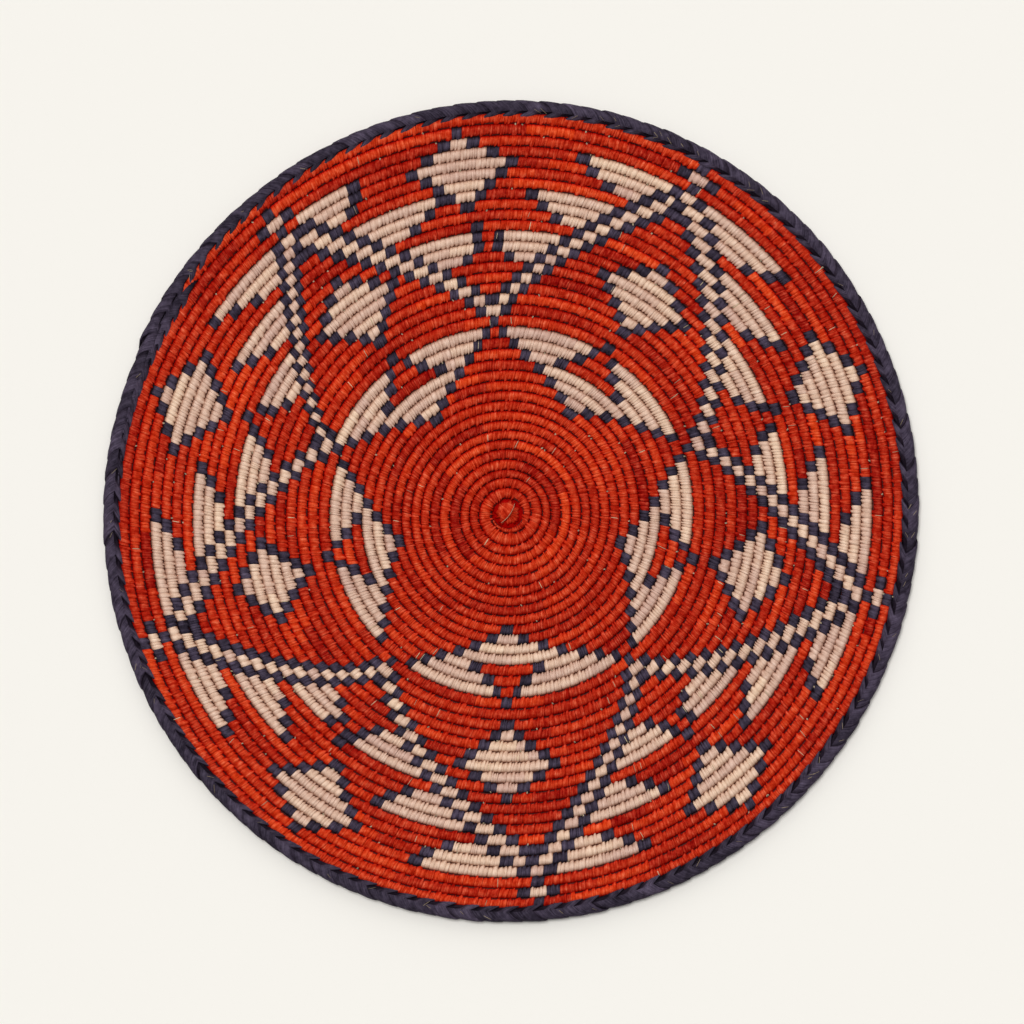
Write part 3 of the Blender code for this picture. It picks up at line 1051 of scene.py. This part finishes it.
def knot_mesh(reach, draw):
    """The knot: a closed dish under a ring of pleats and one broad turn of leaf."""
    shape = bmesh.new()
    uv = shape.loops.layers.uv.new("leaf")
    grid = [[shape.verts.new((reach * share * math.cos(math.tau * j / KNOT_SPOKES),
                              -MID_DEPTH - up,
                              reach * share * math.sin(math.tau * j / KNOT_SPOKES)))
             for j in range(KNOT_SPOKES)] for share, up in KNOT_DISH]
    grid.append([shape.verts.new((v.co.x, -BACK_DEPTH, v.co.z)) for v in grid[-1]])
    middle = shape.verts.new((0, -MID_DEPTH, 0))
    back = shape.verts.new((0, -BACK_DEPTH, 0))
    for j in range(KNOT_SPOKES):
        k = (j + 1) % KNOT_SPOKES
        shape.faces.new((middle, grid[0][j], grid[0][k])).smooth = True
        shape.faces.new((back, grid[-1][k], grid[-1][j])).smooth = True
        for a, b in zip(grid, grid[1:]):
            shape.faces.new((a[j], b[j], b[k], a[k])).smooth = True
    for i in range(PLEATS):
        angle = math.tau * (i + draw.uniform(-0.45, 0.45)) / PLEATS
        add_flap(shape, uv, *pleat(draw, angle, reach))
    broad = [tuple(value * reach for value in row) for row in BROAD_TURN]
    add_flap(shape, uv, broad, BROAD_TURN_ANGLE, reach * 0.12, reach * 0.22, reach * 0.04)
    return closed_mesh("folded_knot", shape)


def knot_fibre_mesh(reach):
    """A pale fibre bowed along the edge of the broad turn."""
    shape = bmesh.new()
    thread = []
    for i in range(-5, 6):
        across = (0.006 * i * i - 0.16) * reach
        thread.append((0.16 * i * reach, across - KNOT_FIBRE_HALF_WIDTH,
                       across + KNOT_FIBRE_HALF_WIDTH, -0.002 * i * i * reach))
    add_flap(shape, shape.loops.layers.uv.new("leaf"), thread, KNOT_FIBRE_ANGLE, reach * 0.24,
             -reach * 0.19, 0.0001)
    return closed_mesh("knot_fibre", shape)


class BASKET_OT_knot(bpy.types.Operator):
    """Fold the leaf of the centre knot"""
    bl_idname = "basket.knot"
    bl_label = "Centre knot"

    def execute(self, context):
        coil = context.scene.basket_coil
        reach = coil.start * KNOT_REACH
        mesh = knot_mesh(reach, random.Random(coil.seed + 3))
        place = vertex_places(mesh)
        out = np.hypot(place[:, 0], place[:, 2]) / reach
        # Painted shade: the knot is painted lighter where it stands forward and darker where it
        # lies deep and towards its edge, and its tone is lowered towards its edge too
        lit = (0.5 + (-place[:, 1] - MID_DEPTH) / 0.0016
               - 1.4 * np.clip(out - KNOT_DARK_FROM, 0, 1))
        mark(mesh, list(np.clip(1.0 - 0.8 * out, 0, 0.5)), 0.3, list(np.clip(lit, 0, 1)))
        mesh.materials.append(finish("dyed_red_palm_leaf", dyed_red_leaf))
        add_piece("folded_knot", mesh, ["centre_knot"])
        mesh = knot_fibre_mesh(reach)
        mark(mesh, 0.45, 0.4, 1.0)
        mesh.materials.append(finish("split_palm_leaf", split_leaf))
        add_piece("knot_fibre", mesh, [])
        return {"FINISHED"}


# Power that squares off the rim's section, which would be an ellipse at 1
RIM_SQUARING = 0.8


def rim_surface(rim, along, around, lift):
    """A point on the rim's section, as (along, forward, outward). Around is 0 at the outer edge."""
    half_width, half_thickness = rim.width / 2, rim.thickness / 2
    out, forward = math.cos(around), math.sin(around)
    out = math.copysign(abs(out) ** RIM_SQUARING, out)
    forward = math.copysign(abs(forward) ** RIM_SQUARING, forward)
    return (along, forward * (half_thickness + lift), out * (half_width + lift))


# Section of a plait strip: share of the pitch, lift in mm, and the painted light there, low as
# painted shade where the strip turns under
PLAIT_SECTION = ((0.0, 0.10, 0.8), (0.06, 0.42, 1.0), (0.4, 0.48, 1.0), (0.8, 0.22, 0.95),
                 (1.08, -0.08, 0.6), (1.4, -0.5, 0.3), (1.4, -1.0, 0.3), (0.0, -0.5, 0.3))
# Places round the rim's section, the depth of the slot and the height of the tooth there, in mm
PLAIT_AROUND = ((-0.8, 0, 0), (0.1, 0, 0), (0.7, 0, 0), (1.25, 0, 0), (1.78, 0, 0),
                (1.86, 1.5, -0.3), (2.15, 1.6, -0.15), (2.45, 0.8, 0.4), (2.75, 0.1, 0.8),
                (3.2, 0.0, 0.4), (4.0, 0.0, 0.0))
# Where the two strips of a chevron meet, and how fast the outer and the inner one slant back
PLAIT_MEET = 1.82
OUTER_SLANT = 0.0040
INNER_SLANT = 0.0060
# Share of the pitch where the slot starts, and how fast it deepens
SLOT_FROM = 0.4
SLOT_SLOPE = 2.5
# Corners of the section that show, and the leaf map's steps along and across a strip
PLAIT_SMOOTH = 5
PLAIT_MAP = (14, 2.5)


def plait_mesh(rim, toothed):
    """One chevron of the plait: an outer and an inner strip that meet on the rim's face."""
    shape = bmesh.new()
    uv = shape.loops.layers.uv.new("leaf")
    high = shape.verts.layers.float.new("high")
    pitch = math.tau * rim.radius / rim.plaits
    rings = []
    for around, slot, tooth in PLAIT_AROUND:
        slant = INNER_SLANT if around > PLAIT_MEET else OUTER_SLANT
        along = -abs(around - PLAIT_MEET) * slant
        ring = []
        for share, lift, light in PLAIT_SECTION:
            # A slot opens where the inner strip goes under the outer one, and it is painted dark
            # there, as painted shade
            deep = max(0, min(1, (share - SLOT_FROM) * SLOT_SLOPE))
            height = lift - slot * deep + tooth * toothed * (1 - 1.25 * share)
            place = rim_surface(rim, along + share * pitch, around, height / 1000)
            vertex = shape.verts.new(place)
            vertex[high] = light * (1 - 0.9 * min(slot, 1) * deep)
            ring.append(vertex)
        rings.append(ring)
    for i, (a, b) in enumerate(zip(rings, rings[1:])):
        for j, face in enumerate(bridge(shape, a, b)):
            k = (j + 1) % len(PLAIT_SECTION)
            face.smooth = j < PLAIT_SMOOTH
            for loop, (u, v) in zip(face.loops, ((j, i), (k, i), (k, i + 1), (j, i + 1))):
                loop[uv].uv = (PLAIT_SECTION[u][0] * PLAIT_MAP[0],
                               PLAIT_AROUND[v][0] * PLAIT_MAP[1])
    for ring in (rings[0], rings[-1]):
        shape.faces.new(ring)
    return closed_mesh("plait", shape)


def plait_tree():
    """Sets a chevron at each point and bends it round the rim."""
    tree = new_tree("rim_plait", [
        ("Plait", "Object"), ("Rim Radius", "Float"), ("Rim Shift", "Vector"),
        ("Unevenness", "Float"), ("Navy Leaf", "Material")])
    sizes = add_node(tree, "NodeGroupInput").outputs
    solid, (along, forward, outward) = placed_copies(tree, sizes, "Plait")
    angle, stretch, offset = read_attributes(tree, ("angle", "stretch", "offset"))
    radius = add_node(tree, "ShaderNodeMath", [sizes["Rim Radius"], offset], operation="ADD")
    radius = add_node(tree, "ShaderNodeMath", [outward, stretch, radius],
                      operation="MULTIPLY_ADD")
    step = add_node(tree, "ShaderNodeMath", [along, sizes["Rim Radius"]], operation="DIVIDE")
    angle = add_node(tree, "ShaderNodeMath", [step, angle], operation="SUBTRACT")
    height = add_node(tree, "ShaderNodeMath", [forward, stretch, MID_DEPTH],
                      operation="MULTIPLY_ADD")
    moved = add_node(tree, "ShaderNodeVectorMath",
                     [turned_place(tree, radius, height, angle), sizes["Rim Shift"]],
                     operation="ADD")
    place = strayed_place(tree, moved, RIM_STRAY_SCALE, sizes["Unevenness"])
    shaped = add_node(tree, "GeometryNodeSetPosition", {"Geometry": solid, "Position": place})
    shaped = add_node(tree, "GeometryNodeSetMaterial",
                      {"Geometry": shaped, "Material": sizes["Navy Leaf"]})
    add_node(tree, "NodeGroupOutput", [shaped])
    return tree


# The rim steps out at this bearing, past the coil's end, and evens out over so many degrees
RIM_STEP_BEARING = 294.5
RIM_STEP_SPREAD = 25
RIM_DIP = 0.0009
RIM_STAND = 0.0010
# Chevrons of the loose end, their size, and the range of their offsets inwards
LAP_PLAITS = 11
LAP_SIZE = 0.86
LAP_OFFSET = -0.0008
LAP_DRIFT = 0.0034
# Half sizes of the rim's core, as shares of the rim's sizes
CORE_WIDTH = 0.42
CORE_THICKNESS = 0.34


def rim_offset(bearing):
    """The rim dips before the coil's end and stands out just past it."""
    past = away(bearing, RIM_STEP_BEARING)
    if past < 0:
        return -RIM_DIP * math.exp(past / RIM_STEP_SPREAD)
    return RIM_STAND * math.exp(-past / RIM_STEP_SPREAD)


class BASKET_OT_rim(bpy.types.Operator):
    """Plait the navy rim over its core"""
    bl_idname = "basket.rim"
    bl_label = "Rim"

    def execute(self, context):
        coil, rim = context.scene.basket_coil, context.scene.basket_rim
        draw = random.Random(coil.seed + 2)
        plait = bpy.data.objects.new("plait", plait_mesh(rim, 1))
        lap = bpy.data.objects.new("lap", plait_mesh(rim, 0.1))
        plaits, laps = [], []
        for i in range(rim.plaits):
            bearing = 360 * (i + draw.uniform(-0.14, 0.14)) / rim.plaits
            points = laps if LAP_FIRST < bearing < LAP_TIGHT else plaits
            points.append((math.radians(90 - bearing), draw.uniform(0.97, 1.03),
                           rim_offset(bearing), draw.random(), draw.random()))
        for i in range(LAP_PLAITS):
            bearing = LAP_FIRST + (LAP_LAST - LAP_FIRST) * (i + 0.5) / LAP_PLAITS
            offset = LAP_OFFSET - LAP_DRIFT * (i + 0.5) / LAP_PLAITS
            laps.append((math.radians(90 - bearing), LAP_SIZE, offset, draw.random(),
                         draw.random()))
        values = {"Rim Radius": rim.radius, "Rim Shift": tuple(rim.shift),
                  "Unevenness": coil.unevenness, "Navy Leaf": leaf_finishes()[2]}
        tree = plait_tree()
        for name, points, item, nodes in (("plaited_rim", plaits, plait, ["rim_plait"]),
                                          ("rim_lap", laps, lap, [])):
            values["Plait"] = item
            mesh = grown(name, points, ("angle", "stretch", "offset", "tone", "seed"), tree, values)
            add_piece(name, mesh, nodes)
            bpy.data.objects.remove(item)
        stations = [(math.radians(i), rim.radius + rim_offset(90 - i), rim.width * CORE_WIDTH)
                    for i in range(360)]
        core = tube_mesh("rim_core", stations, 10, rim.thickness * CORE_THICKNESS, True)
        core.transform(Matrix.Translation(Vector(rim.shift)))
        # The core gets no height, so that it takes the navy's full painted shade where it shows
        # between the strips
        mark(core, 0.0, 0.5, 0.0)
        core.materials.append(leaf_finishes()[2])
        add_piece("rim_core", core, [])
        return {"FINISHED"}


def fibre_mesh():
    """A split fibre of unit length, bowed over the row that it crosses."""
    shape = bmesh.new()
    rings = []
    for i in range(6):
        along = i / 5 - 0.5
        thick = 0.5 if i in (0, 5) else 1.0
        drop = 0.75 * along * along
        rings.append([shape.verts.new((along, drop - up * thick, side * thick))
                      for side, up in ((-0.03, 0.0), (0.0, 0.02), (0.03, 0.0), (0.0, -0.02))])
    for a, b in zip(rings, rings[1:]):
        bridge(shape, a, b)
    shape.faces.new(rings[0])
    shape.faces.new(rings[-1])
    return closed_mesh("fibre", shape)


def fibre_tree():
    """Sets a fibre at each point, at its own slant, length and width."""
    tree = new_tree("stray_fibres", [("Fibre", "Object"), ("Split Leaf", "Material")])
    sizes = add_node(tree, "NodeGroupInput").outputs
    x, depth, z, slant, length, width = read_attributes(
        tree, ("x", "depth", "z", "slant", "length", "width"))
    spot = add_node(tree, "ShaderNodeCombineXYZ", [x, depth, z])
    points = add_node(tree, "GeometryNodeSetPosition",
                      {"Geometry": sizes["Geometry"], "Position": spot})
    fibre = add_node(tree, "GeometryNodeObjectInfo", [sizes["Fibre"]])
    turned = add_node(tree, "ShaderNodeCombineXYZ", {"Y": slant})
    scaled = add_node(tree, "ShaderNodeCombineXYZ", [length, length, width])
    placed = add_node(tree, "GeometryNodeInstanceOnPoints",
                      {"Points": points, "Instance": fibre.outputs["Geometry"],
                       "Rotation": turned, "Scale": scaled})
    solid = add_node(tree, "GeometryNodeRealizeInstances", [placed])
    solid = add_node(tree, "GeometryNodeSetMaterial",
                     {"Geometry": solid, "Material": sizes["Split Leaf"]})
    add_node(tree, "NodeGroupOutput", [solid])
    return tree


# Short flecks in the grooves, long fibres over the rows and fibres on the rim
FLECKS = 260
ROW_FIBRES = 130
RIM_FIBRES = 65
# The slant of a fibre on the rim's inner and outer strip, in degrees, and where they part
INNER_FIBRE_SLANT = 55
OUTER_FIBRE_SLANT = -58
STRIPS_PART = -0.0008


def even_turn(draw):
    """A turn of the coil, drawn so that the fibres fall evenly over its face."""
    turn = 1.3 + math.sqrt(draw.random() * (ROW_COUNT - 1) ** 2)
    return min(turn, ROW_COUNT - 0.3)


def fibre_point(coil, turn, part, forward, slant, length, width, tone, draw):
    """One stray fibre beside a turn of the coil, part of the way across its row."""
    angle = END_ANGLE + math.tau * turn
    inner, outer = groove(coil, max(turn - 1, 0)), groove(coil, turn)
    radius = inner + (outer - inner) * part
    return (radius * math.cos(angle), -MID_DEPTH - forward, radius * math.sin(angle),
            slant - angle, length, width, tone, draw.random(), 1.0)


class BASKET_OT_fibres(bpy.types.Operator):
    """Scatter the flecks, split edges and stray fibres of the leaf"""
    bl_idname = "basket.fibres"
    bl_label = "Stray fibres"

    def execute(self, context):
        coil, rim = context.scene.basket_coil, context.scene.basket_rim
        draw = random.Random(coil.seed + 4)
        half = coil.thickness / 2
        points = []
        for _ in range(FLECKS):
            points.append(fibre_point(
                coil, even_turn(draw), draw.uniform(0.88, 1.02), half * 0.72,
                draw.uniform(-0.7, 0.7), draw.uniform(0.0008, 0.0014),
                draw.uniform(0.008, 0.012), draw.uniform(0, 0.4), draw))
        for _ in range(ROW_FIBRES):
            points.append(fibre_point(
                coil, even_turn(draw), draw.uniform(0.44, 0.58), half * 1.03,
                draw.gauss(0.12, 0.12), draw.uniform(0.0030, 0.0043),
                draw.uniform(0.0032, 0.0055), draw.uniform(0.3, 1), draw))
        for _ in range(RIM_FIBRES):
            angle = math.tau * draw.random()
            out = draw.uniform(-0.0018, 0.0022)
            radius = rim.radius + rim_offset(90 - math.degrees(angle)) + out
            slant = math.radians(INNER_FIBRE_SLANT if out < STRIPS_PART else OUTER_FIBRE_SLANT)
            slant += draw.gauss(0, 0.12)
            points.append((radius * math.cos(angle) + rim.shift[0],
                           -MID_DEPTH - rim.thickness * 0.575,
                           radius * math.sin(angle) + rim.shift[2], slant - angle,
                           draw.uniform(0.003, 0.0055), draw.uniform(0.002, 0.004),
                           draw.uniform(0, 0.25), draw.random(), 1.0))
        fibre = bpy.data.objects.new("fibre", fibre_mesh())
        mesh = grown("stray_fibres", points,
                     ("x", "depth", "z", "slant", "length", "width", "tone", "seed", "high"),
                     fibre_tree(),
                     {"Fibre": fibre, "Split Leaf": finish("split_palm_leaf", split_leaf)})
        add_piece("stray_fibres", mesh, [])
        bpy.data.objects.remove(fibre)
        return {"FINISHED"}


# The photograph's warm white, behind and below the basket
PAPER = "#F7F4ED"
# The wall stands behind the basket's back, the floor lies below it, and both reach so far
WALL_DEPTH = 0.0012
FLOOR_LEVEL = -0.45
SHEET_REACH = 3.0
WORLD_LIGHT = 0.22
# Each lamp, where it comes from, its spread in degrees and its level
LAMPS = (("key", (-0.15, -1.0, 0.2), 22, 0.57), ("overhead", (-0.05, -1.0, 1.0), 75, 0.32),
         ("rear_fill", (0.3, 1.0, 0.2), 40, 0.62))
# The camera looks straight at the basket from here, and its frame is so wide at the basket
CAMERA_PLACE = (0.00196, -3.0, 0.00049)
FRAME_WIDTH = 0.5014


def paper_material(name, one_sided):
    """Matt card. One-sided it is clear from behind and to the lamps, else to soft light."""
    material, tree, shader = new_material(name, 0.9)
    shader.inputs["Base Color"].default_value = linear(PAPER)
    shader.inputs["Specular IOR Level"].default_value = 0.1
    rays = add_node(tree, "ShaderNodeLightPath").outputs
    if one_sided:
        facing = add_node(tree, "ShaderNodeNewGeometry").outputs["Backfacing"]
        hidden = add_node(tree, "ShaderNodeMath", [facing, rays["Is Shadow Ray"]],
                          operation="MAXIMUM")
    else:
        hidden = rays["Is Diffuse Ray"]
    clear = add_node(tree, "ShaderNodeBsdfTransparent")
    either = add_node(tree, "ShaderNodeMixShader", [hidden, shader, clear])
    tree.links.new(either.outputs[0], tree.nodes["Material Output"].inputs["Surface"])
    return material


def add_sheet(name, corners, material):
    """A flat sheet of the stage."""
    mesh = bpy.data.meshes.new(name)
    mesh.from_pydata(corners, [], [(0, 1, 2, 3)])
    mesh.materials.append(material)
    sheet = bpy.data.objects.new(name, mesh)
    bpy.context.scene.collection.objects.link(sheet)


def add_lamp(name, source, spread, level):
    """A wide soft lamp far off. Level is the share of white that it gives a card facing it."""
    lamp = bpy.data.lights.new(name, "SUN")
    lamp.angle = math.radians(spread)
    lamp.energy = level * math.pi
    item = bpy.data.objects.new(name, lamp)
    item.rotation_mode = "QUATERNION"
    item.rotation_quaternion = (-Vector(source)).to_track_quat("-Z", "Y")
    item.location = Vector(source).normalized() * 2
    bpy.context.scene.collection.objects.link(item)


class BASKET_OT_stage(bpy.types.Operator):
    """Set the wall, the floor, the light and the camera"""
    bl_idname = "basket.stage"
    bl_label = "Stage"

    def execute(self, context):
        scene = context.scene
        edge, low = SHEET_REACH, FLOOR_LEVEL
        add_sheet("wall", [(-edge, WALL_DEPTH, low), (edge, WALL_DEPTH, low),
                           (edge, WALL_DEPTH, edge), (-edge, WALL_DEPTH, edge)],
                  paper_material("wall_card", True))
        add_sheet("floor", [(-edge, -edge, low), (edge, -edge, low), (edge, edge, low),
                            (-edge, edge, low)], paper_material("floor_card", False))
        world = scene.world or bpy.data.worlds.new("studio")
        scene.world = world
        world.use_nodes = True
        tree = world.node_tree
        tree.nodes.clear()
        light = add_node(tree, "ShaderNodeBackground", [(1, 1, 1, 1), WORLD_LIGHT])
        seen = add_node(tree, "ShaderNodeBackground", [linear(PAPER), 1.0])
        rays = add_node(tree, "ShaderNodeLightPath").outputs
        first = add_node(tree, "ShaderNodeMath", [rays["Is Camera Ray"], rays["Is Glossy Ray"]],
                         operation="MAXIMUM")
        shown = add_node(tree, "ShaderNodeMath", [first, rays["Is Transmission Ray"]],
                         operation="MAXIMUM")
        either = add_node(tree, "ShaderNodeMixShader", [shown, light, seen])
        add_node(tree, "ShaderNodeOutputWorld", [either])
        for lamp in LAMPS:
            add_lamp(*lamp)
        camera = bpy.data.cameras.new("camera")
        camera.sensor_width = 36
        camera.lens = camera.sensor_width * -CAMERA_PLACE[1] / FRAME_WIDTH
        item = bpy.data.objects.new("camera", camera)
        item.location = CAMERA_PLACE
        item.rotation_euler = (math.radians(90), 0, 0)
        scene.collection.objects.link(item)
        scene.camera = item
        scene.view_settings.view_transform = "Standard"
        return {"FINISHED"}


class BASKET_PT_panel(bpy.types.Panel):
    """Sizes and steps of the basket"""
    bl_idname = "BASKET_PT_panel"
    bl_label = "Coiled wall basket"
    bl_space_type = "VIEW_3D"
    bl_region_type = "UI"
    bl_category = "Basket"

    def draw(self, context):
        for group in (context.scene.basket_coil, context.scene.basket_rim,
                      context.scene.basket_leaf):
            box = self.layout.box()
            for name in group.bl_rna.properties.keys():
                if name not in ("rna_type", "name"):
                    box.prop(group, name)
        for step in STEPS:
            self.layout.operator(step.bl_idname)


STEPS = (BASKET_OT_foundation, BASKET_OT_wrap_rows, BASKET_OT_tail, BASKET_OT_knot,
         BASKET_OT_rim, BASKET_OT_fibres, BASKET_OT_stage)
CLASSES = (CoilSizes, RimSizes, LeafColours, *STEPS, BASKET_PT_panel)


def register():
    """Register the classes and hang their settings on the scene."""
    for item in CLASSES:
        bpy.utils.register_class(item)
    bpy.types.Scene.basket_coil = PointerProperty(type=CoilSizes)
    bpy.types.Scene.basket_rim = PointerProperty(type=RimSizes)
    bpy.types.Scene.basket_leaf = PointerProperty(type=LeafColours)


def unregister():
    """Take away the settings and the classes."""
    del bpy.types.Scene.basket_leaf
    del bpy.types.Scene.basket_rim
    del bpy.types.Scene.basket_coil
    for item in reversed(CLASSES):
        bpy.utils.unregister_class(item)


def main():
    """Dress the basket step by step."""
    register()
    for step in STEPS:
        group, name = step.bl_idname.split(".")
        if getattr(getattr(bpy.ops, group), name)() != {"FINISHED"}:
            raise RuntimeError(step.bl_idname + " did not finish")


if __name__ == "__main__":
    main()
